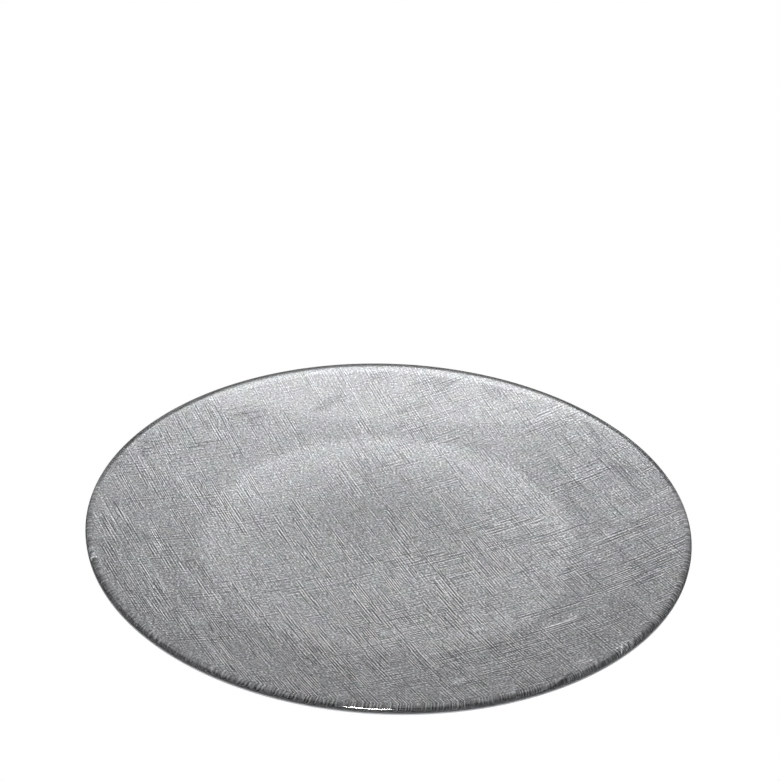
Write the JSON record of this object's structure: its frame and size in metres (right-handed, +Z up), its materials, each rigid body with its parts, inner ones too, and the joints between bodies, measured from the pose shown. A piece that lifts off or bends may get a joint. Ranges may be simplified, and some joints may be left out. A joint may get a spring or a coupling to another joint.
{
  "type": "charger plate",
  "caption": "Round pressed-glass charger plate with a shallow well, a wide gently rising rim and a rounded edge, silvered on its underside under a backing lacquer.",
  "frame": {"origin": "centre of the flat base, on the table", "axes": "+Z up along the plate's axis, out of the well"},
  "size_m": [0.33, 0.33, 0.022],
  "materials": {
    "clear_glass": "fire-polished clear glass",
    "silver_lacquer": "bright silver lacquer with a fine metallic grain",
    "backing_lacquer": "matte grey protective lacquer"
  },
  "bodies": {
    "root": {"glass_body": "clear_glass", "silver_coat": "silver_lacquer", "backing_coat": "backing_lacquer"}
  },
  "joints": []
}
